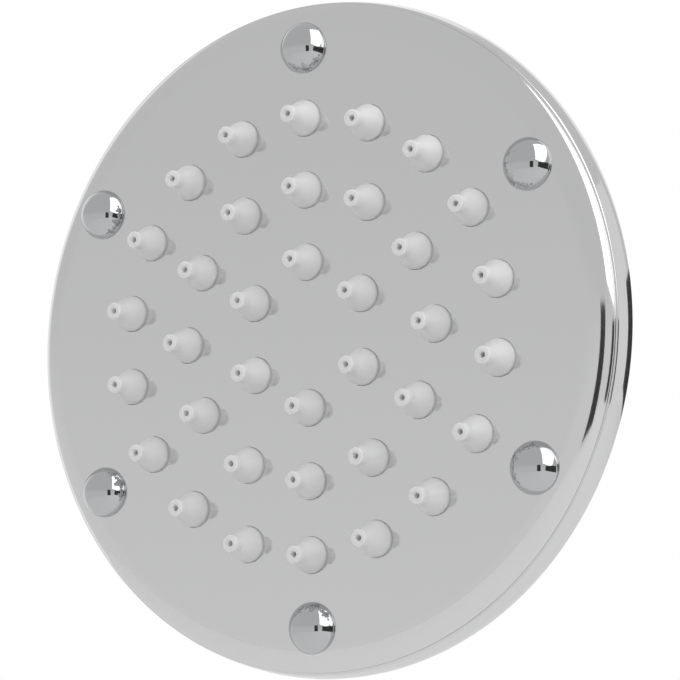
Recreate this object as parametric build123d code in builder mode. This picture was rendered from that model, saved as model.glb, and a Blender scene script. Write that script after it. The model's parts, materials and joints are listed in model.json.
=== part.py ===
from build123d import *
from math import cos, radians, sin, sqrt, tan
import os

# A round rain shower head on a ball joint. The face looks along -Y, the supply pipe comes
# in along +Y, and the origin is the centre of the inlet's mouth. Sizes are millimetres.

# Face plate: a pressed steel pan whose skirt opens a little towards the back
head_radius = 75.0
plate_wall = 1.0
front_corner = 5.6
skirt_depth = 8.0
skirt_draft = 14.0

# Nozzles: one silicone mat, with rings of 6, 12 and 18 at even pitch
ring_count = 3
first_ring_nozzles = 6
pattern_start = 90.0
nozzle_base_radius = 4.0
nozzle_collar_height = 0.8
nozzle_shoulder_radius = 3.05
nozzle_shoulder_height = 3.0
nozzle_tip_radius = 1.9
nozzle_tip_length = 2.2
nozzle_height = 7.2
nozzle_inlet_radius = 1.5
nozzle_outlet_radius = 0.6
nozzle_hole_clearance = 0.1
mat_thickness = 2.0
mat_edge = 8.0
mat_screw_margin = 5.95

# Dome caps, washers, screws and posts round the rim
screw_inset = 11.25
screw_count = 6
cap_radius = 5.65
cap_skirt = 0.4
cap_crown = 3.4
cap_wall = 0.5
cap_snap_clearance = 0.1
washer_thickness = 0.7
screw_radius = 1.5
screw_hole_clearance = 0.3
screw_head_radius = 2.75
screw_head_height = 1.5
screw_length = 10.0
post_radius = 3.6
thread_clearance = 0.05

# Back shell: a pressed dish whose lip slips inside the plate's skirt
shell_wall = 1.0
shell_depth = 21.0
shell_shoulder_depth = 13.2
shell_shoulder_radius = 6.0
shell_pad_radius = 24.0
shell_pad_blend = 10.0
shell_lip_length = 2.5
lip_clearance = 0.1

# Water chamber behind the mat
chamber_wall = 2.0
chamber_height = 4.5
chamber_seat_width = 4.0
chamber_rim_gap = 6.0
mat_edge_clearance = 0.3

# Ball joint
ball_radius = 11.0
neck_radius = 7.0
neck_reach = 15.0
water_radius = 4.5
ball_nose = 9.5
joint_gap = 0.2
seat_thickness = 1.6
seat_back_angle = 66.0
seat_front_angle = 108.0
mouth_angle = 50.0
mouth_flare = 1.2
collar_radius = 19.5
collar_rear = 9.6
collar_skirt = 7.0
collar_flutes = 12
flute_radius = 2.5
flute_depth = 0.7
collar_edge = 0.8

# Hub that carries the ball
hub_thread_radius = 16.0
hub_flange_radius = 19.0
hub_flange_thickness = 3.0
hub_floor = 1.2
hub_bore_radius = 5.5
floor_hole_radius = 7.0
ball_ring_section = 2.0
ball_ring_angle = 133.0
ring_clearance = 0.05
gasket_thickness = 1.5
gasket_radius = 18.0
tail_radius = 10.0
tail_clearance = 0.2
lock_nut_flats = 27.0
lock_nut_thickness = 4.5
spigot_radius = 8.5
spigot_clearance = 0.1
spigot_into_chamber = 0.5
tail_ring_section = 2.0
tail_ring_room = 0.15
socket_nut_gap = 0.5

# Inlet: a hexagon with a half-inch pipe thread
inlet_length = 15.0
inlet_flats = 25.0
inlet_corner_radius = 13.6
inlet_thread_radius = 9.35
inlet_thread_length = 8.5
inlet_recess_radius = 8.3
inlet_washer_thickness = 2.0
inlet_washer_bore = 6.0
screen_thickness = 0.4
regulator_radius = 6.4
regulator_thickness = 3.0
regulator_holes = 6
regulator_hole_radius = 1.1
regulator_hole_circle = 8.0
insert_clearance = 0.1

# Places along the axis, from the inlet's mouth towards the face
ball_y = -(inlet_length + neck_reach)
socket_radius = ball_radius + seat_thickness + 2 * joint_gap
ball_ring_centre = ball_radius + joint_gap + ball_ring_section / 2
ball_ring_radius = ball_ring_centre * sin(radians(ball_ring_angle))
ball_ring_y = ball_y + ball_ring_centre * cos(radians(ball_ring_angle))
hub_floor_y = ball_ring_y - ball_ring_section / 2 - ring_clearance
hub_front_y = hub_floor_y - hub_floor
shell_back_y = hub_front_y - gasket_thickness
shell_inner_y = shell_back_y - shell_wall
lock_nut_y = shell_inner_y - lock_nut_thickness
face_y = shell_back_y - shell_depth
plate_back_y = face_y + plate_wall
skirt_y = face_y + skirt_depth
lip_y = skirt_y - shell_lip_length
mat_back_y = plate_back_y + mat_thickness
chamber_seat_y = mat_back_y + chamber_wall
lid_front_y = mat_back_y + chamber_height
lid_back_y = lid_front_y + chamber_wall
chamber_socket_y = lock_nut_y - socket_nut_gap
spigot_y = lid_front_y - spigot_into_chamber

# Places across the face: the screws follow the rim, the mat follows the screws
screw_ring_radius = head_radius - screw_inset
screw_hole_radius = screw_radius + screw_hole_clearance
mat_radius = screw_ring_radius - screw_hole_radius - mat_screw_margin
ring_pitch = (mat_radius - mat_edge) / ring_count
chamber_rim_radius = head_radius - plate_wall - chamber_rim_gap
face_plane = Plane.XZ.offset(-face_y)


def skirt_radius(depth):
    """The outside radius of the plate's skirt at a depth behind the face."""
    return head_radius - (skirt_depth - depth) * tan(radians(skirt_draft))


skirt_inset = plate_wall / cos(radians(skirt_draft))
skirt_front = skirt_radius(0)
skirt_inner_front = skirt_radius(plate_wall) - skirt_inset
shell_radius = skirt_radius(lip_y - face_y) - skirt_inset - lip_clearance


def ball_point(radius, angle):
    """A profile point at a radius from the ball's centre, at an angle from the inlet's axis."""
    return radius * sin(radians(angle)), ball_y + radius * cos(radians(angle))


def nozzle_rings():
    """The radius and number of nozzles of each ring."""
    return [(ring * ring_pitch, ring * first_ring_nozzles) for ring in range(1, ring_count + 1)]


# Face plate
with BuildPart() as face_plate:
    with BuildSketch(Plane.XY) as pan:
        with BuildLine():
            Polyline(
                (0, face_y),
                (skirt_front, face_y),
                (head_radius, skirt_y),
                (head_radius - skirt_inset, skirt_y),
                (skirt_inner_front, plate_back_y),
                (0, plate_back_y),
                close=True,
            )
        make_face()
        outer_corner = pan.vertices().sort_by_distance((skirt_front, face_y, 0))[0]
        fillet(outer_corner, front_corner)
        inner_corner = pan.vertices().sort_by_distance((skirt_inner_front, plate_back_y, 0))[0]
        fillet(inner_corner, front_corner - plate_wall)
    revolve(axis=Axis.Y)
    with BuildSketch(face_plane):
        for radius, count in nozzle_rings():
            with PolarLocations(radius, count, start_angle=pattern_start):
                Circle(nozzle_base_radius + nozzle_hole_clearance)
        with PolarLocations(screw_ring_radius, screw_count, start_angle=pattern_start):
            Circle(screw_hole_radius)
    extrude(amount=-plate_wall, mode=Mode.SUBTRACT)
face_plate.part.label = "face_plate"
export_step(face_plate.part, "parts/face_plate.step")


# Nozzle, in its own frame with its foot on the face and its tip along +Z
with BuildPart() as nozzle:
    with BuildSketch(Plane.XZ):
        with BuildLine():
            Polyline(
                (0, -plate_wall),
                (nozzle_base_radius, -plate_wall),
                (nozzle_base_radius, nozzle_collar_height),
                (nozzle_shoulder_radius, nozzle_shoulder_height),
                (nozzle_tip_radius, nozzle_height - nozzle_tip_length),
                (nozzle_tip_radius, nozzle_height),
                (0, nozzle_height),
                close=True,
            )
        make_face()
    revolve(axis=Axis.Z)

with BuildPart() as nozzle_bore:
    with BuildSketch(Plane.XZ):
        with BuildLine():
            Polyline(
                (0, -plate_wall - mat_thickness),
                (nozzle_inlet_radius, -plate_wall - mat_thickness),
                (nozzle_outlet_radius, nozzle_height - nozzle_tip_length),
                (nozzle_outlet_radius, nozzle_height),
                (0, nozzle_height),
                close=True,
            )
        make_face()
    revolve(axis=Axis.Z)

# Nozzle mat
with BuildPart(face_plane) as nozzle_mat:
    with BuildSketch(face_plane.offset(-plate_wall)):
        Circle(mat_radius)
    extrude(amount=-mat_thickness)
    for radius, count in nozzle_rings():
        with PolarLocations(radius, count, start_angle=pattern_start):
            add(nozzle.part)
            add(nozzle_bore.part, mode=Mode.SUBTRACT)
nozzle_mat.part.label = "nozzle_mat"
export_step(nozzle_mat.part, "parts/nozzle_mat.step")


# Dome cap, washer and screw, in the same frame as the nozzle
crown_radius = (cap_radius**2 + cap_crown**2) / (2 * cap_crown)
crown_centre = cap_skirt + cap_crown - crown_radius
hollow_radius = cap_radius - cap_wall
hollow_top = cap_skirt + cap_crown - cap_wall
hollow_sphere = crown_radius - cap_wall
hollow_shoulder = crown_centre + sqrt(hollow_sphere**2 - hollow_radius**2)
washer_radius = sqrt(hollow_sphere**2 - (washer_thickness - crown_centre) ** 2) - cap_snap_clearance

with BuildPart() as dome_cap:
    with BuildSketch(Plane.XZ):
        with BuildLine():
            Line((hollow_radius, 0), (cap_radius, 0))
            Line((cap_radius, 0), (cap_radius, cap_skirt))
            RadiusArc((cap_radius, cap_skirt), (0, cap_skirt + cap_crown), -crown_radius)
            Line((0, cap_skirt + cap_crown), (0, hollow_top))
            RadiusArc((0, hollow_top), (hollow_radius, hollow_shoulder), hollow_sphere)
            Line((hollow_radius, hollow_shoulder), (hollow_radius, 0))
        make_face()
    revolve(axis=Axis.Z)

for number in range(screw_count):
    with BuildPart(face_plane) as placed_cap:
        cap_angle = pattern_start - number * 360 / screw_count
        with PolarLocations(screw_ring_radius, 1, start_angle=cap_angle):
            add(dome_cap.part)
    placed_cap.part.label = f"dome_cap_{number + 1}"
    export_step(placed_cap.part, f"parts/dome_cap_{number + 1}.step")

with BuildPart(face_plane) as cap_washers:
    with BuildSketch(face_plane):
        with PolarLocations(screw_ring_radius, screw_count, start_angle=pattern_start):
            Circle(washer_radius)
            Circle(screw_hole_radius, mode=Mode.SUBTRACT)
    extrude(amount=washer_thickness)
cap_washers.part.label = "cap_washers"
export_step(cap_washers.part, "parts/cap_washers.step")

with BuildPart(face_plane) as face_screws:
    with BuildSketch(face_plane.offset(washer_thickness)):
        with PolarLocations(screw_ring_radius, screw_count, start_angle=pattern_start):
            Circle(screw_head_radius)
    extrude(amount=screw_head_height)
    with BuildSketch(face_plane.offset(washer_thickness)):
        with PolarLocations(screw_ring_radius, screw_count, start_angle=pattern_start):
            Circle(screw_radius)
    extrude(amount=-screw_length)
face_screws.part.label = "face_screws"
export_step(face_screws.part, "parts/face_screws.step")


def dish_section(inset):
    """The dish's filled half section, drawn with its outside moved in by an inset."""
    with BuildSketch(Plane.XY) as section:
        with BuildLine():
            Polyline(
                (0, lip_y),
                (shell_radius - inset, lip_y),
                (shell_radius - inset, face_y + shell_shoulder_depth - inset),
                (shell_pad_radius, shell_back_y - inset),
                (0, shell_back_y - inset),
                close=True,
            )
        make_face()
        shoulder_at = (shell_radius - inset, face_y + shell_shoulder_depth - inset, 0)
        shoulder = section.vertices().sort_by_distance(shoulder_at)[0]
        fillet(shoulder, shell_shoulder_radius - inset)
        pad_edge = section.vertices().sort_by_distance((shell_pad_radius, shell_back_y - inset, 0))[0]
        fillet(pad_edge, shell_pad_blend)
    return section.sketch


# Back shell, open at the front
with BuildPart() as back_shell:
    with BuildSketch(Plane.XY):
        add(dish_section(0))
        add(dish_section(shell_wall), mode=Mode.SUBTRACT)
    revolve(axis=Axis.Y)
    with BuildSketch(Plane.XZ.offset(-shell_back_y)):
        Circle(tail_radius + tail_clearance)
    extrude(amount=shell_wall, mode=Mode.SUBTRACT)
back_shell.part.label = "back_shell"
export_step(back_shell.part, "parts/back_shell.step")

# Threaded posts, trimmed to the inside of the dish
with BuildPart() as screw_posts:
    with BuildSketch(Plane.XZ.offset(-chamber_seat_y)):
        with PolarLocations(screw_ring_radius, screw_count, start_angle=pattern_start):
            Circle(post_radius)
            Circle(screw_radius + thread_clearance, mode=Mode.SUBTRACT)
    extrude(amount=chamber_seat_y - shell_back_y)
    with BuildSketch(Plane.XY):
        add(dish_section(shell_wall))
    revolve(axis=Axis.Y, mode=Mode.INTERSECT)
screw_posts.part.label = "screw_posts"
export_step(screw_posts.part, "parts/screw_posts.step")


# Water chamber: a cup whose flange clamps the mat's edge and is held by the screws
seat_inner_radius = mat_radius - chamber_seat_width
chamber_bore_radius = spigot_radius + spigot_clearance
with BuildPart() as water_chamber:
    with BuildSketch(Plane.XY):
        with BuildLine():
            Polyline(
                (mat_radius + mat_edge_clearance, plate_back_y),
                (chamber_rim_radius, plate_back_y),
                (chamber_rim_radius, chamber_seat_y),
                (seat_inner_radius + chamber_wall, chamber_seat_y),
                (seat_inner_radius + chamber_wall, lid_back_y),
                (chamber_bore_radius + chamber_wall, lid_back_y),
                (chamber_bore_radius + chamber_wall, chamber_socket_y),
                (chamber_bore_radius, chamber_socket_y),
                (chamber_bore_radius, lid_front_y),
                (seat_inner_radius, lid_front_y),
                (seat_inner_radius, mat_back_y),
                (mat_radius + mat_edge_clearance, mat_back_y),
                close=True,
            )
        make_face()
    revolve(axis=Axis.Y)
    with BuildSketch(face_plane):
        with PolarLocations(screw_ring_radius, screw_count, start_angle=pattern_start):
            Circle(screw_hole_radius)
    extrude(amount=-(chamber_seat_y - face_y), mode=Mode.SUBTRACT)
water_chamber.part.label = "water_chamber"
export_step(water_chamber.part, "parts/water_chamber.step")


# Hub: ball cup, flange, threaded tail and a grooved spigot
groove_floor = spigot_radius - tail_ring_section + tail_ring_room
groove_width = tail_ring_section + 2 * tail_ring_room
groove_y = (lid_front_y + chamber_socket_y) / 2
ring_wall_radius = ball_ring_radius + ball_ring_section / 2 + ring_clearance
cup_end_y = ball_y - sqrt(socket_radius**2 - ring_wall_radius**2)
with BuildPart() as swivel_socket:
    with BuildSketch(Plane.XY):
        with BuildLine():
            RadiusArc((socket_radius, ball_y), (ring_wall_radius, cup_end_y), socket_radius)
            Polyline(
                (ring_wall_radius, cup_end_y),
                (ring_wall_radius, hub_floor_y),
                (floor_hole_radius, hub_floor_y),
                (hub_bore_radius, hub_front_y),
                (hub_bore_radius, spigot_y),
                (spigot_radius, spigot_y),
                (spigot_radius, groove_y - groove_width / 2),
                (groove_floor, groove_y - groove_width / 2),
                (groove_floor, groove_y + groove_width / 2),
                (spigot_radius, groove_y + groove_width / 2),
                (spigot_radius, lock_nut_y),
                (tail_radius, lock_nut_y),
                (tail_radius, hub_front_y),
                (hub_flange_radius, hub_front_y),
                (hub_flange_radius, hub_front_y + hub_flange_thickness),
                (hub_thread_radius, hub_front_y + hub_flange_thickness),
                (hub_thread_radius, ball_y),
                (socket_radius, ball_y),
            )
        make_face()
    revolve(axis=Axis.Y)
swivel_socket.part.label = "swivel_socket"
export_step(swivel_socket.part, "parts/swivel_socket.step")

# Flat gasket between the hub's flange and the shell
with BuildPart() as socket_gasket:
    with BuildSketch(Plane.XZ.offset(-hub_front_y)):
        Circle(gasket_radius)
        Circle(tail_radius + tail_clearance, mode=Mode.SUBTRACT)
    extrude(amount=gasket_thickness)
socket_gasket.part.label = "socket_gasket"
export_step(socket_gasket.part, "parts/socket_gasket.step")

# Lock nut inside the shell
with BuildPart() as socket_nut:
    with BuildSketch(Plane.XZ.offset(-shell_inner_y)):
        RegularPolygon(lock_nut_flats / 2, 6, major_radius=False)
        Circle(tail_radius + thread_clearance, mode=Mode.SUBTRACT)
    extrude(amount=lock_nut_thickness)
socket_nut.part.label = "socket_nut"
export_step(socket_nut.part, "parts/socket_nut.step")

# Seal on the spigot, and seal behind the ball
with BuildPart() as tail_o_ring:
    with BuildSketch(Plane.XY):
        with Locations((chamber_bore_radius - tail_ring_section / 2, groove_y)):
            Circle(tail_ring_section / 2 - ring_clearance)
    revolve(axis=Axis.Y)
tail_o_ring.part.label = "tail_o_ring"
export_step(tail_o_ring.part, "parts/tail_o_ring.step")

with BuildPart() as ball_o_ring:
    with BuildSketch(Plane.XY):
        with Locations((ball_ring_radius, ball_ring_y)):
            Circle(ball_ring_section / 2)
    revolve(axis=Axis.Y)
ball_o_ring.part.label = "ball_o_ring"
export_step(ball_o_ring.part, "parts/ball_o_ring.step")


# Collar: screws on the hub, keeps the ball in, and leaves room for the neck to tilt
mouth_radius, mouth_y = ball_point(socket_radius, mouth_angle)
collar_rear_y = ball_y + collar_rear
with BuildPart() as ball_collar:
    with BuildSketch(Plane.XY):
        with BuildLine():
            RadiusArc((socket_radius, ball_y), (mouth_radius, mouth_y), -socket_radius)
            Polyline(
                (mouth_radius, mouth_y),
                (mouth_radius + mouth_flare, collar_rear_y),
                (hub_thread_radius, collar_rear_y),
                (collar_radius, ball_y + collar_rear / 2),
                (collar_radius, ball_y - collar_skirt + collar_edge),
                (collar_radius - collar_edge, ball_y - collar_skirt),
                (hub_thread_radius + thread_clearance, ball_y - collar_skirt),
                (hub_thread_radius + thread_clearance, ball_y),
                (socket_radius, ball_y),
            )
        make_face()
    revolve(axis=Axis.Y)
    with BuildSketch(Plane.XZ.offset(-collar_rear_y)):
        with PolarLocations(collar_radius + flute_radius - flute_depth, collar_flutes):
            Circle(flute_radius)
    extrude(amount=collar_rear + collar_skirt, mode=Mode.SUBTRACT)
ball_collar.part.label = "ball_collar"
export_step(ball_collar.part, "parts/ball_collar.step")

# Slip ring between the ball and its cup
seat_inner = ball_radius + joint_gap
seat_outer = seat_inner + seat_thickness
with BuildPart() as ball_seat:
    with BuildSketch(Plane.XY):
        with BuildLine():
            seat_mid_angle = (seat_back_angle + seat_front_angle) / 2
            ThreePointArc(
                ball_point(seat_inner, seat_back_angle),
                ball_point(seat_inner, seat_mid_angle),
                ball_point(seat_inner, seat_front_angle),
            )
            Line(ball_point(seat_inner, seat_front_angle), ball_point(seat_outer, seat_front_angle))
            ThreePointArc(
                ball_point(seat_outer, seat_front_angle),
                ball_point(seat_outer, seat_mid_angle),
                ball_point(seat_outer, seat_back_angle),
            )
            Line(ball_point(seat_outer, seat_back_angle), ball_point(seat_inner, seat_back_angle))
        make_face()
    revolve(axis=Axis.Y)
ball_seat.part.label = "ball_seat"
export_step(ball_seat.part, "parts/ball_seat.step")


# Ball stem: ball, neck and hexagon inlet, bored through
nose_radius = sqrt(ball_radius**2 - ball_nose**2)
neck_start = sqrt(ball_radius**2 - neck_radius**2)
recess_y = -inlet_thread_length - inlet_washer_thickness - screen_thickness
regulator_y = recess_y - regulator_thickness
with BuildPart() as ball_stem:
    with BuildSketch(Plane.XZ.offset(inlet_length)):
        RegularPolygon(inlet_flats / 2, 6, major_radius=False)
    extrude(amount=-inlet_length)
    with BuildSketch(Plane.XY):
        with BuildLine():
            bevel = inlet_corner_radius - inlet_flats / 2
            Polyline(
                (0, 0),
                (inlet_flats / 2, 0),
                (inlet_corner_radius + bevel, -bevel * 2),
                (inlet_corner_radius + bevel, bevel * 2 - inlet_length),
                (inlet_flats / 2, -inlet_length),
                (0, -inlet_length),
                close=True,
            )
        make_face()
    revolve(axis=Axis.Y, mode=Mode.INTERSECT)
    with BuildSketch(Plane.XY):
        with BuildLine():
            Line((0, ball_y - ball_nose), (nose_radius, ball_y - ball_nose))
            ThreePointArc(
                (nose_radius, ball_y - ball_nose),
                (ball_radius, ball_y),
                (neck_radius, ball_y + neck_start),
            )
            Line((neck_radius, ball_y + neck_start), (neck_radius, -inlet_length))
            Line((neck_radius, -inlet_length), (0, -inlet_length))
            Line((0, -inlet_length), (0, ball_y - ball_nose))
        make_face()
    revolve(axis=Axis.Y)
    with BuildSketch(Plane.XY):
        with BuildLine():
            Polyline(
                (0, ball_y - ball_nose),
                (water_radius, ball_y - ball_nose),
                (water_radius, regulator_y),
                (regulator_radius, regulator_y),
                (regulator_radius, recess_y),
                (inlet_recess_radius, recess_y),
                (inlet_recess_radius, -inlet_thread_length),
                (inlet_thread_radius, -inlet_thread_length),
                (inlet_thread_radius, 0),
                (0, 0),
                close=True,
            )
        make_face()
    revolve(axis=Axis.Y, mode=Mode.SUBTRACT)
ball_stem.part.label = "ball_stem"
export_step(ball_stem.part, "parts/ball_stem.step")

# Flow regulator, filter screen and washer in the inlet's recesses
with BuildPart() as flow_regulator:
    with BuildSketch(Plane.XZ.offset(-recess_y)):
        Circle(regulator_radius - insert_clearance)
        with PolarLocations(regulator_hole_circle / 2, regulator_holes):
            Circle(regulator_hole_radius, mode=Mode.SUBTRACT)
    extrude(amount=regulator_thickness)
flow_regulator.part.label = "flow_regulator"
export_step(flow_regulator.part, "parts/flow_regulator.step")

with BuildPart() as filter_screen:
    with BuildSketch(Plane.XZ.offset(-recess_y)):
        Circle(inlet_recess_radius - insert_clearance)
    extrude(amount=-screen_thickness)
filter_screen.part.label = "filter_screen"
export_step(filter_screen.part, "parts/filter_screen.step")

with BuildPart() as inlet_washer:
    with BuildSketch(Plane.XZ.offset(inlet_thread_length)):
        Circle(inlet_recess_radius - insert_clearance)
        Circle(inlet_washer_bore, mode=Mode.SUBTRACT)
    extrude(amount=inlet_washer_thickness)
inlet_washer.part.label = "inlet_washer"
export_step(inlet_washer.part, "parts/inlet_washer.step")
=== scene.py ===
"""Dressed scene of a round rain shower head on a ball joint.

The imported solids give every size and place. This file lays smooth meshes over the pieces that show,
gives each piece its finish, and sets up a plain white product studio.
"""

from __future__ import annotations

import json
import logging
import math
from dataclasses import dataclass, field
from enum import Enum
from typing import Callable, Iterable, Sequence

import bmesh
import bpy
from bmesh.types import BMesh, BMFace, BMVert
from bpy.types import Material, Node, NodeSocket, NodeTree, Object
from mathutils import Matrix, Quaternion, Vector
from mathutils.geometry import tessellate_polygon

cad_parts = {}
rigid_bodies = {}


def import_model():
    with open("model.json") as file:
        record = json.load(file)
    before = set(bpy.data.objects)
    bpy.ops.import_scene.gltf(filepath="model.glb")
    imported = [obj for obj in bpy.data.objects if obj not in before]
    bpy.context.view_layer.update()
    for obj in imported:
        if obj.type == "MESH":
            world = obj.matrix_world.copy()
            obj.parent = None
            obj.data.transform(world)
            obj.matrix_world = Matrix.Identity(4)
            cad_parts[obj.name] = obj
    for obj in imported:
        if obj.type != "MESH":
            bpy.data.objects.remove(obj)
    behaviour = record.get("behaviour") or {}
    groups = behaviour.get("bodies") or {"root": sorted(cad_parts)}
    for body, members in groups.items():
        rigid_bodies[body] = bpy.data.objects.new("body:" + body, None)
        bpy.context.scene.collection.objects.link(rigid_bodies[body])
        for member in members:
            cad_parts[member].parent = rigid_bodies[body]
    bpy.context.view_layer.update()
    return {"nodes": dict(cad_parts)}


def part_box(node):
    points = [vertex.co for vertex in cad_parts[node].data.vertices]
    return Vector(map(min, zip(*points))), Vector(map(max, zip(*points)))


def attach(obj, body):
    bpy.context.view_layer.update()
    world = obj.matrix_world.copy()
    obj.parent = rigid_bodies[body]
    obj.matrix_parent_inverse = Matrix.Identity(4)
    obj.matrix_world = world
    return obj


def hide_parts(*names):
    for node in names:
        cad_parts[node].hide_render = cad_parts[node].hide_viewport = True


log = logging.getLogger("shower_head")

MM = 0.001
WHITE = (1.0, 1.0, 1.0, 1.0)
# Range that holds most values of Blender's noise texture.
NOISE_RANGE = (0.3, 0.7)
HAZE_DETAIL = 3.0
GRAIN_DETAIL = 2.0

Point = tuple[float, float]
Profile = list[Point]
RimPoint = tuple[float, float, float]
Circle = list[BMVert]


class Body(Enum):
    """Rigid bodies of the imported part."""

    INLET = "inlet"
    SEAT = "seat"
    HEAD = "head"


class Slot(Enum):
    """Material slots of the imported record."""

    STEEL = "polished_steel"
    CHROME = "cap_chrome"
    SILICONE = "white_silicone"
    PLATED = "plated_brass"
    BRASS = "raw_brass"
    SCREW = "screw_steel"
    PLASTIC = "inner_plastic"
    RUBBER = "black_rubber"


def linear(hex_colour: str) -> tuple[float, float, float, float]:
    """Turn an sRGB hex colour into linear values.

    Args:
        hex_colour: Six hex digits with a leading hash.

    Returns:
        Linear red, green, blue and an alpha of one.
    """
    digits = hex_colour.lstrip("#")
    parts = [int(digits[i : i + 2], 16) / 255 for i in (0, 2, 4)]
    red, green, blue = (c / 12.92 if c <= 0.04045 else ((c + 0.055) / 1.055) ** 2.4 for c in parts)
    return red, green, blue, 1.0


def add_node(
    tree: NodeTree, kind: str, inputs: dict | None = None, **settings: object
) -> Node:
    """Add a node to a tree with its settings, values and links.

    Args:
        tree: Node tree that receives the node.
        kind: Blender's type name of the node.
        inputs: Values or output sockets, by input name or index.
        **settings: Attributes set on the node itself.

    Returns:
        The new node.
    """
    made = tree.nodes.new(kind)
    for name, value in settings.items():
        setattr(made, name, value)
    for key, value in (inputs or {}).items():
        if isinstance(value, NodeSocket):
            tree.links.new(value, made.inputs[key])
        else:
            made.inputs[key].default_value = value
    return made


def maths(tree: NodeTree, operation: str, one: object, two: object) -> NodeSocket:
    """Add a math node.

    Args:
        tree: Node tree that receives the node.
        operation: Blender's name of the operation.
        one: First value or socket.
        two: Second value or socket.

    Returns:
        The node's result.
    """
    return add_node(tree, "ShaderNodeMath", {0: one, 1: two}, operation=operation).outputs[0]


def add_relief(tree: NodeTree, shader: Node, height: NodeSocket, depth_mm: float) -> None:
    """Draw a height as relief on a shader.

    Args:
        tree: The material's node tree.
        shader: The principled shader.
        height: Height from zero to one.
        depth_mm: Depth of the relief where the height changes by one.
    """
    bump = add_node(
        tree, "ShaderNodeBump", {"Height": height, "Distance": depth_mm * MM, "Strength": 1.0}
    )
    tree.links.new(bump.outputs["Normal"], shader.inputs["Normal"])


@dataclass(frozen=True)
class Finish:
    """A surface finish, named for the real material and how its surface was made."""

    name: str
    colour: str
    metallic: float
    roughness: float
    haze: float = 0.0
    haze_size_mm: float = 30.0
    grain_mm: float = 0.0
    grain_height_mm: float = 0.0
    subsurface: float = 0.0
    subsurface_mm: float = 1.0

    def material(self) -> Material:
        """Make the material, or return it if it is made already.

        Returns:
            The material with its shader nodes.
        """
        found = bpy.data.materials.get(self.name)
        if found:
            return found
        made = bpy.data.materials.new(self.name)
        made.use_nodes = True
        tree = made.node_tree
        tree.nodes.clear()
        shader = add_node(
            tree,
            "ShaderNodeBsdfPrincipled",
            {
                "Base Color": linear(self.colour),
                "Metallic": self.metallic,
                "Roughness": self.roughness,
                "Subsurface Weight": self.subsurface,
            },
        )
        shader.inputs["Subsurface Radius"].default_value = (self.subsurface_mm * MM,) * 3
        shader.inputs["Subsurface Scale"].default_value = 1.0
        place = add_node(tree, "ShaderNodeTexCoord")
        if self.haze:
            self._add_haze(tree, shader, place)
        self._add_relief(tree, shader, place)
        add_node(tree, "ShaderNodeOutputMaterial", {"Surface": shader.outputs["BSDF"]})
        return made

    def _add_haze(self, tree: NodeTree, shader: Node, place: Node) -> None:
        """Vary the gloss in soft patches, as buffing and handling leave it.

        Args:
            tree: The material's node tree.
            shader: The principled shader.
            place: The texture coordinate node.
        """
        noise = add_node(
            tree,
            "ShaderNodeTexNoise",
            {
                "Vector": place.outputs["Object"],
                "Scale": 1 / (self.haze_size_mm * MM),
                "Detail": HAZE_DETAIL,
            },
        )
        spread = add_node(
            tree,
            "ShaderNodeMapRange",
            {
                "Value": noise.outputs["Fac"],
                "From Min": NOISE_RANGE[0],
                "From Max": NOISE_RANGE[1],
                "To Min": max(self.roughness - self.haze, 0.0),
                "To Max": self.roughness + self.haze,
            },
        )
        tree.links.new(spread.outputs["Result"], shader.inputs["Roughness"])

    def _add_relief(self, tree: NodeTree, shader: Node, place: Node) -> None:
        """Add the fine relief of the tool that made the surface, if it has any.

        Args:
            tree: The material's node tree.
            shader: The principled shader.
            place: The texture coordinate node.
        """
        if not self.grain_mm:
            return
        noise = add_node(
            tree,
            "ShaderNodeTexNoise",
            {
                "Vector": place.outputs["Object"],
                "Scale": 1 / (self.grain_mm * MM),
                "Detail": GRAIN_DETAIL,
            },
        )
        add_relief(tree, shader, noise.outputs["Fac"], self.grain_height_mm)


@dataclass(frozen=True)
class ThreadedFinish(Finish):
    """A finish whose bore along Y carries a pipe thread, drawn as relief."""

    pitch_mm: float = 1.814
    bore_mm: float = 9.35
    thread_length_mm: float = 8.2
    thread_height_mm: float = 1.16
    bore_slack_mm: float = 0.2

    def _add_relief(self, tree: NodeTree, shader: Node, place: Node) -> None:
        """Add the thread's turns to the wall of the bore.

        Args:
            tree: The material's node tree.
            shader: The principled shader.
            place: The texture coordinate node.
        """
        split = add_node(tree, "ShaderNodeSeparateXYZ", {"Vector": place.outputs["Object"]})
        across, along, up = split.outputs
        turns = maths(tree, "DIVIDE", maths(tree, "ARCTAN2", across, up), 2 * math.pi)
        phase = maths(tree, "ADD", turns, maths(tree, "DIVIDE", along, self.pitch_mm * MM))
        ridge = maths(tree, "PINGPONG", phase, 0.5)
        flat = add_node(tree, "ShaderNodeCombineXYZ", {"X": across, "Z": up})
        arm = add_node(tree, "ShaderNodeVectorMath", {0: flat.outputs[0]}, operation="LENGTH")
        bore_edge = (self.bore_mm + self.bore_slack_mm) * MM
        in_bore = maths(tree, "LESS_THAN", arm.outputs["Value"], bore_edge)
        near_mouth = maths(tree, "GREATER_THAN", along, -self.thread_length_mm * MM)
        height = maths(tree, "MULTIPLY", ridge, maths(tree, "MULTIPLY", in_bore, near_mouth))
        # The ridge's height runs from zero to one half, so the relief is twice the thread's height.
        add_relief(tree, shader, height, 2 * self.thread_height_mm)


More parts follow.
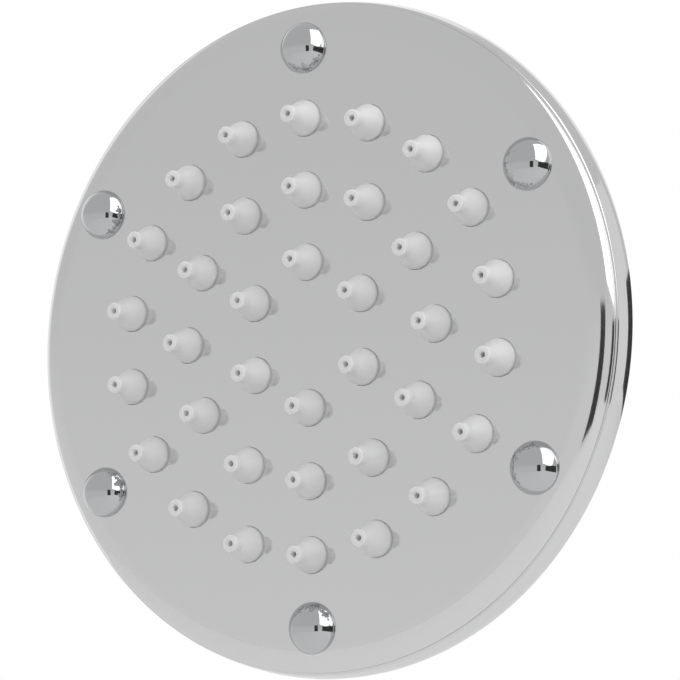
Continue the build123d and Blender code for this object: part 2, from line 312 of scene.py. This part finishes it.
@dataclass(frozen=True)
class WovenFinish(Finish):
    """A finish of woven wire, drawn on a plain disc facing along Y, its openings in painted shade."""

    mesh_mm: float = 0.7
    wire_share: float = 0.45
    wire_blend: float = 0.08
    relief_share: float = 0.3
    # Painted shade of the openings, where the dark space behind the weave would show.
    painted_gap_shade: str = "#2B2B2C"

    def _add_relief(self, tree: NodeTree, shader: Node, place: Node) -> None:
        """Draw the wires across each other, with painted shade in the openings between them.

        Args:
            tree: The material's node tree.
            shader: The principled shader.
            place: The texture coordinate node.
        """
        split = add_node(tree, "ShaderNodeSeparateXYZ", {"Vector": place.outputs["Object"]})
        rows = []
        for axis in ("X", "Z"):
            count = maths(tree, "DIVIDE", split.outputs[axis], self.mesh_mm * MM)
            rows.append(maths(tree, "PINGPONG", count, 0.5))
        weave = maths(tree, "MAXIMUM", *rows)
        edge = 0.5 * (1 - self.wire_share)
        wire = add_node(
            tree,
            "ShaderNodeMapRange",
            {"Value": weave, "From Min": edge, "From Max": edge + self.wire_blend},
        )
        # The wires take the finish's colour and the openings take the painted shade.
        # The mix node's colour sockets share their names with others, so they go by number.
        colour = add_node(
            tree,
            "ShaderNodeMix",
            {0: wire.outputs["Result"], 6: linear(self.painted_gap_shade), 7: linear(self.colour)},
            data_type="RGBA",
        )
        tree.links.new(colour.outputs[2], shader.inputs["Base Color"])
        add_relief(tree, shader, weave, self.relief_share * self.mesh_mm)


# Stainless sheet, pressed and buffed: a neutral grey mirror, a little soft from the wheel.
BUFFED_STAINLESS = Finish("buffed_stainless", "#D6D6D7", 1.0, 0.08, haze=0.02, haze_size_mm=25.0)
# Bright chrome on pressed brass caps: a dark, sharp mirror.
BRIGHT_CHROME = Finish("bright_chrome", "#BEBFC0", 1.0, 0.05)
# Chrome on turned brass fittings: the same plating over a slightly less even surface.
PLATED_BRASS = Finish("chrome_plated_brass", "#CFD0D1", 1.0, 0.06, haze=0.02, haze_size_mm=8.0)
# The same plating on the inlet, whose bore has a half-inch pipe thread.
THREADED_BRASS = ThreadedFinish(
    "chrome_plated_threaded_brass", "#CFD0D1", 1.0, 0.06, haze=0.02, haze_size_mm=8.0
)
# Woven stainless wire of the inlet's filter, drawn a little coarser so that it shows, with painted
# shade in its openings.
WOVEN_STAINLESS = WovenFinish("woven_stainless", "#BDBDBE", 1.0, 0.3)
# Bare machined brass: yellow, with fine tool marks, drawn coarser so that they show.
MACHINED_BRASS = Finish("machined_brass", "#C8A564", 1.0, 0.3, grain_mm=0.4, grain_height_mm=0.01)
# White silicone, moulded: soft sheen, light carries a little way under the skin.
MOULDED_SILICONE = Finish(
    "moulded_silicone",
    "#E2E2E2",
    0.0,
    0.42,
    grain_mm=0.5,
    grain_height_mm=0.004,
    subsurface=0.6,
    subsurface_mm=2.4,
)
# Plain stainless screws and posts: satin from rolling.
ROLLED_STAINLESS = Finish(
    "rolled_stainless", "#BDBDBE", 1.0, 0.32, grain_mm=0.3, grain_height_mm=0.005
)
# Natural moulded plastic of the inner pieces: off-white, with the fine spark texture of the mould.
MOULDED_PLASTIC = Finish(
    "moulded_plastic", "#DEDDD8", 0.0, 0.5, grain_mm=0.35, grain_height_mm=0.008
)
# Black nitrile seals: dull, with a faint moulded bloom.
NITRILE_RUBBER = Finish("nitrile_rubber", "#1E1E1F", 0.0, 0.6, grain_mm=0.4, grain_height_mm=0.01)


def rounded(points: Sequence[Point], radii: dict[int, float], steps: int) -> Profile:
    """Round some corners of a closed profile.

    Args:
        points: Corners of the closed profile, as radius and place along Y in millimetres.
        radii: Corner radius by the corner's index.
        steps: Segments per rounded corner.

    Returns:
        The profile with arcs in place of those corners.
    """
    made: Profile = []
    count = len(points)
    for index, corner in enumerate(points):
        radius = radii.get(index)
        if not radius:
            made.append(corner)
            continue
        here = Vector(corner)
        back = (Vector(points[index - 1]) - here).normalized()
        ahead = (Vector(points[(index + 1) % count]) - here).normalized()
        half = back.angle(ahead) / 2
        centre = here + (back + ahead).normalized() * (radius / math.sin(half))
        first = here + back * (radius / math.tan(half)) - centre
        last = here + ahead * (radius / math.tan(half)) - centre
        turn = first.angle_signed(last)
        for step in range(steps + 1):
            arm = first.copy()
            arm.rotate(Matrix.Rotation(-turn * step / steps, 2))
            made.append(tuple(centre + arm))
    return made


def ring_of_verts(
    mesh: BMesh, radius: float, along: float, segments: int, centre: Point
) -> Circle:
    """Add a circle of vertices round an axis parallel to Y.

    Args:
        mesh: Mesh that receives the vertices.
        radius: Circle radius in millimetres.
        along: Place along Y in millimetres.
        segments: Vertices on the circle.
        centre: X and Z of the axis in millimetres.

    Returns:
        The vertices, in order round the circle.
    """
    made = []
    for index in range(segments):
        angle = 2 * math.pi * index / segments
        across, up = radius * math.cos(angle), radius * math.sin(angle)
        made.append(mesh.verts.new(Vector((centre[0] + across, along, centre[1] + up)) * MM))
    return made


def bridge(mesh: BMesh, one: Circle, two: Circle) -> None:
    """Join two circles of vertices with a band of quads.

    Args:
        mesh: Mesh that receives the quads.
        one: First circle.
        two: Second circle, with as many vertices as the first.
    """
    count = len(one)
    for index in range(count):
        after = (index + 1) % count
        mesh.faces.new((one[index], one[after], two[after], two[index]))


def lathe(
    mesh: BMesh,
    profile: Profile,
    segments: int,
    centre: Point = (0.0, 0.0),
    closed: bool = True,
) -> tuple[Circle, Circle]:
    """Turn a profile about an axis parallel to Y.

    Args:
        mesh: Mesh that receives the surface.
        profile: Radius and place along Y of each point, in millimetres.
        segments: Segments round the axis.
        centre: X and Z of the axis in millimetres.
        closed: Whether the last circle joins the first.

    Returns:
        The first and the last circle of vertices.
    """
    circles = [ring_of_verts(mesh, radius, along, segments, centre) for radius, along in profile]
    for one, two in zip(circles, circles[1:]):
        bridge(mesh, one, two)
    if closed:
        bridge(mesh, circles[-1], circles[0])
    return circles[0], circles[-1]


def fill_flat(mesh: BMesh, outer: Circle, holes: Iterable[Circle]) -> list[BMFace]:
    """Fill a flat face between an outer circle and the circles of its holes.

    Args:
        mesh: Mesh that holds the vertices.
        outer: Outer circle.
        holes: Circles of the holes.

    Returns:
        The new faces.
    """
    loops = [outer, *holes]
    flat = [vert for loop in loops for vert in loop]
    outlines = [[(vert.co.x / MM, vert.co.z / MM, 0.0) for vert in loop] for loop in loops]
    made = []
    for triangle in tessellate_polygon(outlines):
        corners = [flat[index] for index in triangle]
        if len(set(corners)) == 3:
            made.append(mesh.faces.new(corners))
    return made


def finish_mesh(
    mesh: BMesh,
    name: str,
    finish: Finish,
    body: Body,
    replaces: Sequence[str],
    flat: Iterable[BMFace] = (),
    sharp_deg: float = 32.0,
) -> Object:
    """Turn a built mesh into a dressed piece that rides on its body.

    Args:
        mesh: The finished mesh data; it is freed.
        name: Name of the new object.
        finish: Finish of the whole piece.
        body: Body that carries the piece.
        replaces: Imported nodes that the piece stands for.
        flat: Faces that keep flat shading.
        sharp_deg: Edge angle above which shading breaks.

    Returns:
        The new object.
    """
    bmesh.ops.recalc_face_normals(mesh, faces=mesh.faces)
    for face in mesh.faces:
        face.smooth = True
    for face in flat:
        face.smooth = False
    data = bpy.data.meshes.new(name)
    mesh.to_mesh(data)
    mesh.free()
    data.set_sharp_from_angle(angle=math.radians(sharp_deg))
    data.materials.append(finish.material())
    piece = bpy.data.objects.new(name, data)
    bpy.context.scene.collection.objects.link(piece)
    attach(piece, body.value)
    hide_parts(*replaces)
    return piece


@dataclass
class FaceLayout:
    """Places that the pieces of the face share, in millimetres."""

    face_y: float
    plate_wall: float = 1.0
    head_radius: float = 75.0
    ring_pitch: float = 16.0
    ring_count: int = 3
    first_ring: int = 6
    screw_ring: float = 63.75
    screw_count: int = 6
    start_deg: float = 90.0

    def circle(self, radius: float, count: int) -> list[Point]:
        """Places on a circle, the first at the top, in order the other way from a clock.

        Args:
            radius: Circle radius.
            count: Number of places.

        Returns:
            X and Z of each place.
        """
        angles = [math.radians(self.start_deg + 360 * index / count) for index in range(count)]
        return [(radius * math.cos(angle), radius * math.sin(angle)) for angle in angles]

    def nozzles(self) -> list[Point]:
        """Places of the nozzles.

        Returns:
            X and Z of every nozzle, ring by ring.
        """
        made = []
        for ring in range(1, self.ring_count + 1):
            made += self.circle(ring * self.ring_pitch, ring * self.first_ring)
        return made

    def screws(self) -> list[Point]:
        """Places of the face screws.

        Returns:
            X and Z of every screw.
        """
        return self.circle(self.screw_ring, self.screw_count)

    def at(self, height: float) -> float:
        """Find the place along Y of a height above the face.

        Args:
            height: Height above the face, less than zero behind it.

        Returns:
            The place along Y.
        """
        return self.face_y - height


@dataclass
class FacePan:
    """The pressed steel pan with its punched holes."""

    layout: FaceLayout
    slope_radius: float = 8.0
    slope_end_deg: float = 48.0
    bend_radius: float = 2.0
    draft_deg: float = 14.0
    skirt: float = 8.0
    hem_depth: float = 2.8
    hem_end_deg: float = 96.0
    rim_inset: float = 0.25
    crease_depth: float = 0.26
    crease_width: float = 0.85
    nozzle_hole: float = 4.1
    screw_hole: float = 1.8
    arc_steps: int = 32
    rim_segments: int = 288
    hole_segments: int = 48
    support: float = 0.15

    def rim(self) -> list[RimPoint]:
        """Outside of the rim: an easy slope off the flat, a tight bend, the wall and the hem.

        Returns:
            Radius, depth behind the face and angle from the face's normal in radians, flat first.
        """
        slope_end = math.radians(self.slope_end_deg)
        wall = math.radians(90 - self.draft_deg)
        hem_end = math.radians(self.hem_end_deg)
        hem_radius = self.hem_depth / (math.cos(wall) - math.cos(hem_end))
        made = [(0.0, 0.0, 0.0)]
        for radius, start, end in (
            (self.slope_radius, 0.0, slope_end),
            (self.bend_radius, slope_end, wall),
            (hem_radius, wall, hem_end),
        ):
            across, depth, _ = made[-1]
            if start == wall:
                run = self.skirt - self.hem_depth - depth
                across, depth = across + run / math.tan(wall), depth + run
                made.append((across, depth, wall))
            for step in range(1, self.arc_steps + 1):
                angle = start + (end - start) * step / self.arc_steps
                made.append((
                    across + radius * (math.sin(angle) - math.sin(start)),
                    depth + radius * (math.cos(start) - math.cos(angle)),
                    angle,
                ))
        shift = self.layout.head_radius - self.rim_inset - max(point[0] for point in made)
        return [(across + shift, depth, angle) for across, depth, angle in made]

    def creased(self, rim: list[RimPoint]) -> list[RimPoint]:
        """Press the fine crease where the slope meets the tight bend.

        Args:
            rim: Radius, depth and angle of each point of the plain rim.

        Returns:
            The same points, drawn in along the crease.
        """
        slope_end = math.radians(self.slope_end_deg)
        crease = min(rim, key=lambda point: abs(point[2] - slope_end))
        made = []
        for radius, depth, angle in rim:
            away = math.hypot(radius - crease[0], depth - crease[1]) / (self.crease_width / 2)
            press = self.crease_depth * (1 + math.cos(math.pi * min(away, 1.0))) / 2
            made.append((radius - press * math.sin(angle), depth + press * math.cos(angle), angle))
        return made

    def build(self) -> Object:
        """Build the pan as one closed mesh.

        Returns:
            The dressed pan.
        """
        layout = self.layout
        wall = layout.plate_wall
        front, back = layout.at(0.0), layout.at(-wall)
        rim = self.rim()
        flat_end = rim[0][0] - self.support
        outside = [(radius, layout.at(-depth)) for radius, depth, _ in self.creased(rim)]
        inside = [
            (radius - wall * math.sin(angle), layout.at(-depth - wall * math.cos(angle)))
            for radius, depth, angle in reversed(rim)
        ]
        profile = [(flat_end, front), *outside, *inside, (flat_end, back)]
        mesh = bmesh.new()
        front_rim, back_rim = lathe(mesh, profile, self.rim_segments, closed=False)
        front_holes, back_holes = [], []
        places = [(place, self.nozzle_hole) for place in layout.nozzles()]
        places += [(place, self.screw_hole) for place in layout.screws()]
        for place, radius in places:
            wall_line = [(radius, front), (radius, back)]
            first, last = lathe(mesh, wall_line, self.hole_segments, place, closed=False)
            front_holes.append(first)
            back_holes.append(last)
        flat = fill_flat(mesh, front_rim, front_holes)
        flat += fill_flat(mesh, back_rim, back_holes)
        return finish_mesh(
            mesh, "face_pan", BUFFED_STAINLESS, Body.HEAD, ["face_plate"], flat
        )


@dataclass
class NozzleMat:
    """The silicone mat with its nozzles, moulded in one piece."""

    layout: FaceLayout
    mat_radius: float = 56.0
    mat_thickness: float = 2.0
    base_radius: float = 4.0
    collar_height: float = 0.8
    tip_radius: float = 1.9
    tip_start: float = 5.0
    height: float = 7.2
    tip_round: float = 0.3
    inlet_radius: float = 1.5
    outlet_radius: float = 0.6
    outlet_flare: float = 0.22
    outlet_depth: float = 0.3
    bell_power: float = 1.12
    bell_steps: int = 12
    tip_steps: int = 5
    segments: int = 48
    edge_segments: int = 96
    sharp_deg: float = 40.0

    def bell(self) -> Profile:
        """Outside of one nozzle from its foot to its tip, as radius and height above the face.

        Returns:
            The profile, foot first.
        """
        rise = self.tip_start - self.collar_height
        swell = self.base_radius - self.tip_radius
        made: Profile = [(self.base_radius, 0.0)]
        for step in range(self.bell_steps + 1):
            share = step / self.bell_steps
            radius = self.tip_radius + swell * (1 - share**self.bell_power)
            made.append((radius, self.collar_height + rise * share))
        made.append((self.tip_radius, self.height - self.tip_round))
        for step in range(1, self.tip_steps + 1):
            angle = math.pi / 2 * step / self.tip_steps
            inset = self.tip_round * (1 - math.cos(angle))
            drop = self.tip_round * (1 - math.sin(angle))
            made.append((self.tip_radius - inset, self.height - drop))
        return made

    def build(self) -> Object:
        """Build the mat as one closed mesh with a bore through each nozzle.

        Returns:
            The dressed mat.
        """
        layout = self.layout
        front = layout.at(-layout.plate_wall)
        back = layout.at(-layout.plate_wall - self.mat_thickness)
        outside = [(radius, layout.at(height)) for radius, height in self.bell()]
        outside[0] = (self.base_radius, front)
        bore = [
            (self.outlet_radius + self.outlet_flare, layout.at(self.height)),
            (self.outlet_radius, layout.at(self.height - self.outlet_depth)),
            (self.outlet_radius, layout.at(self.tip_start)),
            (self.inlet_radius, back),
        ]
        mesh = bmesh.new()
        feet, mouths = [], []
        for place in layout.nozzles():
            first, last = lathe(mesh, outside + bore, self.segments, place, closed=False)
            feet.append(first)
            mouths.append(last)
        edge = [(self.mat_radius, front), (self.mat_radius, back)]
        edge_front, edge_back = lathe(mesh, edge, self.edge_segments, closed=False)
        flat = fill_flat(mesh, edge_front, feet)
        flat += fill_flat(mesh, edge_back, mouths)
        return finish_mesh(
            mesh,
            "silicone_mat",
            MOULDED_SILICONE,
            Body.HEAD,
            ["nozzle_mat"],
            flat,
            self.sharp_deg,
        )


@dataclass
class DomeCaps:
    """The mirror caps that snap over the face screws."""

    layout: FaceLayout
    radius: float = 5.65
    skirt: float = 0.4
    crown: float = 4.0
    wall: float = 0.5
    edge_break: float = 0.1
    pole_radius: float = 0.01
    weld: float = 0.002
    segments: int = 72
    steps: int = 20
    sharp_deg: float = 50.0

    def profile(self) -> Profile:
        """Closed section of a cap, with a tiny hole at the crown.

        Returns:
            Radius and height above the face of each point.
        """
        sphere = (self.radius**2 + self.crown**2) / (2 * self.crown)
        centre = self.skirt + self.crown - sphere
        inner, bore = sphere - self.wall, self.radius - self.wall
        outer_turn, inner_turn = math.asin(self.radius / sphere), math.asin(bore / inner)
        made: Profile = [
            (bore, 0.0),
            (self.radius - self.edge_break, 0.0),
            (self.radius, self.edge_break),
        ]
        for step in range(self.steps + 1):
            angle = outer_turn * (1 - step / self.steps)
            radius = max(sphere * math.sin(angle), self.pole_radius)
            made.append((radius, centre + sphere * math.cos(angle)))
        for step in range(self.steps + 1):
            angle = inner_turn * step / self.steps
            radius = max(inner * math.sin(angle), self.pole_radius)
            made.append((radius, centre + inner * math.cos(angle)))
        return made

    def build(self) -> list[Object]:
        """Build the caps, numbered with the clock from the top.

        Returns:
            The dressed caps.
        """
        layout = self.layout
        section = [(radius, layout.at(height)) for radius, height in self.profile()]
        places = layout.screws()
        made = []
        for number in range(layout.screw_count):
            mesh = bmesh.new()
            place = places[-number % layout.screw_count]
            lathe(mesh, section, self.segments, place)
            bmesh.ops.remove_doubles(mesh, verts=mesh.verts, dist=self.weld * MM)
            piece = finish_mesh(
                mesh,
                f"mirror_cap_{number + 1}",
                BRIGHT_CHROME,
                Body.HEAD,
                [f"dome_cap_{number + 1}"],
                sharp_deg=self.sharp_deg,
            )
            made.append(piece)
        return made


@dataclass
class BackShell:
    """The pressed dish behind the pan."""

    layout: FaceLayout
    depth: float = 21.0
    wall: float = 1.0
    radius: float = 73.246
    lip_depth: float = 5.5
    shoulder_depth: float = 13.2
    shoulder_radius: float = 6.0
    pad_radius: float = 24.0
    pad_blend: float = 10.0
    lip_round: float = 0.2
    tail_hole: float = 10.2
    corner_steps: int = 16
    segments: int = 288

    def build(self) -> Object:
        """Build the dish as one closed mesh, open at the front.

        Returns:
            The dressed dish.
        """
        layout, wall = self.layout, self.wall
        corners = [
            (self.tail_hole, layout.at(-self.depth)),
            (self.pad_radius, layout.at(-self.depth)),
            (self.radius, layout.at(-self.shoulder_depth)),
            (self.radius, layout.at(-self.lip_depth)),
            (self.radius - wall, layout.at(-self.lip_depth)),
            (self.radius - wall, layout.at(-self.shoulder_depth + wall)),
            (self.pad_radius, layout.at(-self.depth + wall)),
            (self.tail_hole, layout.at(-self.depth + wall)),
        ]
        radii = {
            1: self.pad_blend,
            2: self.shoulder_radius,
            3: self.lip_round,
            4: self.lip_round,
            5: self.shoulder_radius - wall,
            6: self.pad_blend,
        }
        mesh = bmesh.new()
        lathe(mesh, rounded(corners, radii, self.corner_steps), self.segments)
        return finish_mesh(
            mesh, "back_dish", BUFFED_STAINLESS, Body.HEAD, ["back_shell"]
        )


@dataclass
class Fittings:
    """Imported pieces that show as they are, with their finishes."""

    nodes: dict[str, Object]
    finishes: dict[str, tuple[Finish, Slot]] = field(
        default_factory=lambda: {
            "ball_stem": (THREADED_BRASS, Slot.PLATED),
            "ball_collar": (PLATED_BRASS, Slot.PLATED),
            "swivel_socket": (PLATED_BRASS, Slot.PLATED),
            "ball_seat": (MOULDED_PLASTIC, Slot.PLASTIC),
            "ball_o_ring": (NITRILE_RUBBER, Slot.RUBBER),
            "tail_o_ring": (NITRILE_RUBBER, Slot.RUBBER),
            "socket_gasket": (NITRILE_RUBBER, Slot.RUBBER),
            "socket_nut": (MACHINED_BRASS, Slot.BRASS),
            "water_chamber": (MOULDED_PLASTIC, Slot.PLASTIC),
            "cap_washers": (MOULDED_PLASTIC, Slot.PLASTIC),
            "face_screws": (ROLLED_STAINLESS, Slot.SCREW),
            "screw_posts": (ROLLED_STAINLESS, Slot.SCREW),
            "flow_regulator": (MOULDED_PLASTIC, Slot.PLASTIC),
            "filter_screen": (WOVEN_STAINLESS, Slot.SCREW),
            "inlet_washer": (NITRILE_RUBBER, Slot.RUBBER),
        }
    )

    def dress(self) -> list[Object]:
        """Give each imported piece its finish.

        Returns:
            The dressed pieces.
        """
        made = []
        for name, (finish, slot) in self.finishes.items():
            piece = self.nodes[name]
            piece.data.materials.clear()
            piece.data.materials.append(finish.material())
            made.append(piece)
        return made


@dataclass(frozen=True)
class Card:
    """A flat card on the stage: its name, its size in metres and where it stands round the face.

    The stand is an azimuth from the face's normal towards +X and an elevation, both in degrees,
    and a distance in metres. The glow is the white that cameras and mirrors see on the card. A card
    without it is dark felt that the camera doesn't see.
    """

    name: str
    size: tuple[float, float]
    stand: tuple[float, float, float]
    glow: float = 0.0


@dataclass
class Studio:
    """White product studio: pale floor, white papers, tent light, one softbox and dark felt."""

    face_y: float
    floor_z: float = -0.3
    floor_size: float = 2.0
    floor_colour: str = "#E8E8E8"
    floor_glow_share: float = 0.5
    tent_horizon: float = 0.8
    tent_top: float = 0.7
    tent_fade: tuple[float, float] = (-0.05, 0.25)
    softbox_watts: float = 13.0
    softbox_size: tuple[float, float] = (1.2, 2.15)
    softbox_from: tuple[float, float, float] = (80.0, 40.0, 1.5)
    softbox_roll_deg: float = -27.0
    papers: tuple[Card, ...] = (
        Card("backdrop", (3.4, 2.6), (212.4, 6.0, 1.6), glow=1.0),
        Card("side_paper", (1.0, 1.6), (126.0, 4.0, 1.4), glow=0.88),
    )
    felts: tuple[Card, ...] = (
        Card("flag", (1.06, 0.78), (80.5, -13.0, 1.25)),
        Card("camera_cloth", (0.26, 0.72), (32.4, -11.0, 1.05)),
        Card("rear_flag", (0.72, 0.5), (150.0, 2.0, 1.3)),
    )
    paper_colour: str = "#FFFFFF"
    felt_colour: str = "#4C4C4C"
    camera_place: tuple[float, float, float] = (0.33484, -0.58756, -0.07229)
    camera_turn: tuple[float, float, float] = (96.5135, 0.9301, 32.0154)
    camera_lens: float = 151.94
    camera_sensor: float = 36.0

    def _from(self, azimuth: float, elevation: float, distance: float) -> tuple[Vector, Vector]:
        """A place seen from the face's centre, and the direction back to it.

        Args:
            azimuth: Degrees from the face's normal, towards +X.
            elevation: Degrees above level.
            distance: Metres from the face's centre.

        Returns:
            The place and the unit vector from it to the face.
        """
        turn, rise = math.radians(azimuth), math.radians(elevation)
        level = math.cos(rise)
        out = Vector((math.sin(turn) * level, -math.cos(turn) * level, math.sin(rise)))
        return Vector((0.0, self.face_y * MM, 0.0)) + out * distance, -out

    def _card(
        self, name: str, size: tuple[float, float], place: Vector, facing: Vector
    ) -> Object:
        """Add a flat card to the stage.

        Args:
            name: Name of the object.
            size: Width and height in metres.
            place: Centre of the card.
            facing: Unit vector that the card's front looks along.

        Returns:
            The card.
        """
        wide, high = size[0] / 2, size[1] / 2
        data = bpy.data.meshes.new(name)
        corners = [(-wide, -high, 0), (wide, -high, 0), (wide, high, 0), (-wide, high, 0)]
        data.from_pydata(corners, [], [(0, 1, 2, 3)])
        card = bpy.data.objects.new(name, data)
        bpy.context.scene.collection.objects.link(card)
        card.location = place
        card.rotation_euler = facing.to_track_quat("Z", "Y").to_euler()
        return card

    def _matte(self, name: str, colour: str, glow: float, share: float = 1.0) -> Material:
        """Make a matte card material, which a camera or a mirror may see as plain white.

        Args:
            name: Name of the material.
            colour: Matte colour as sRGB hex.
            glow: Strength that cameras and mirrors see in place of the matte colour, or zero.
            share: Share of the glow in what they see; the rest is the matte colour in its light.

        Returns:
            The material.
        """
        made = bpy.data.materials.new(name)
        made.use_nodes = True
        tree = made.node_tree
        tree.nodes.clear()
        matte = add_node(tree, "ShaderNodeBsdfDiffuse", {"Color": linear(colour)})
        surface = matte.outputs["BSDF"]
        if glow:
            path = add_node(tree, "ShaderNodeLightPath")
            seen = path.outputs["Is Camera Ray"]
            for ray in ("Is Glossy Ray", "Is Transmission Ray"):
                seen = maths(tree, "MAXIMUM", seen, path.outputs[ray])
            white = add_node(tree, "ShaderNodeEmission", {"Color": WHITE, "Strength": glow})
            part = maths(tree, "MULTIPLY", seen, share)
            mix = add_node(tree, "ShaderNodeMixShader", {0: part, 1: surface, 2: white.outputs[0]})
            surface = mix.outputs[0]
        add_node(tree, "ShaderNodeOutputMaterial", {"Surface": surface})
        return made

    def _light_world(self) -> None:
        """Light the world as a pale tent, a little darker towards its top."""
        world = bpy.data.worlds.new("tent")
        bpy.context.scene.world = world
        world.use_nodes = True
        tree = world.node_tree
        tree.nodes.clear()
        place = add_node(tree, "ShaderNodeTexCoord")
        split = add_node(tree, "ShaderNodeSeparateXYZ", {"Vector": place.outputs["Generated"]})
        level = add_node(
            tree,
            "ShaderNodeMapRange",
            {
                "Value": split.outputs["Z"],
                "From Min": self.tent_fade[0],
                "From Max": self.tent_fade[1],
                "To Min": self.tent_horizon,
                "To Max": self.tent_top,
            },
            interpolation_type="SMOOTHSTEP",
        )
        light = add_node(
            tree, "ShaderNodeBackground", {"Color": WHITE, "Strength": level.outputs["Result"]}
        )
        add_node(tree, "ShaderNodeOutputWorld", {"Surface": light.outputs[0]})

    def _add_cards(self) -> None:
        """Lay the floor and stand the white papers and the dark felts round the object."""
        centre, up = Vector((0, 0, self.floor_z)), Vector((0, 0, 1))
        floor = self._card("floor", (self.floor_size,) * 2, centre, up)
        floor_paper = self._matte("floor_paper", self.floor_colour, 1.0, self.floor_glow_share)
        floor.data.materials.append(floor_paper)
        for card in self.papers:
            paper = self._card(card.name, card.size, *self._from(*card.stand))
            white = self._matte(f"{card.name}_white", self.paper_colour, card.glow)
            paper.data.materials.append(white)
        felt = self._matte("flag_felt", self.felt_colour, 0.0)
        for card in self.felts:
            flag = self._card(card.name, card.size, *self._from(*card.stand))
            flag.data.materials.append(felt)
            flag.visible_camera = False

    def _add_softbox(self) -> None:
        """Hang the one softbox, turned to the face."""
        lamp = bpy.data.lights.new("softbox", "AREA")
        lamp.shape = "RECTANGLE"
        lamp.size, lamp.size_y = self.softbox_size
        lamp.energy = self.softbox_watts
        softbox = bpy.data.objects.new("softbox", lamp)
        bpy.context.scene.collection.objects.link(softbox)
        place, facing = self._from(*self.softbox_from)
        softbox.location = place
        roll = Quaternion((0.0, 0.0, 1.0), math.radians(self.softbox_roll_deg))
        softbox.rotation_euler = (facing.to_track_quat("-Z", "Y") @ roll).to_euler()

    def _add_camera(self) -> None:
        """Set the camera where the photo was taken from."""
        lens = bpy.data.cameras.new("camera")
        lens.lens = self.camera_lens
        lens.sensor_width = self.camera_sensor
        camera = bpy.data.objects.new("camera", lens)
        bpy.context.scene.collection.objects.link(camera)
        camera.location = self.camera_place
        camera.rotation_euler = [math.radians(angle) for angle in self.camera_turn]
        bpy.context.scene.camera = camera

    def build(self) -> None:
        """Set up the stage, the lights, the camera and the view transform."""
        self._add_cards()
        self._light_world()
        self._add_softbox()
        self._add_camera()
        bpy.context.scene.view_settings.view_transform = "Standard"


def main() -> None:
    """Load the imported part, build every sub-assembly in order, and set up the studio."""
    logging.basicConfig(level=logging.INFO, format="%(name)s: %(message)s")
    for old in list(bpy.data.objects):
        bpy.data.objects.remove(old, do_unlink=True)
    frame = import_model()
    low, _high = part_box("face_plate")
    layout = FaceLayout(face_y=low.y / MM)
    builders: list[tuple[str, Callable[[], object]]] = [
        ("face pan", FacePan(layout).build),
        ("nozzle mat", NozzleMat(layout).build),
        ("dome caps", DomeCaps(layout).build),
        ("back shell", BackShell(layout).build),
        ("fittings", Fittings(frame["nodes"]).dress),
    ]
    for name, build in builders:
        build()
        log.info("built %s", name)
    Studio(layout.face_y).build()


if __name__ == "__main__":
    main()
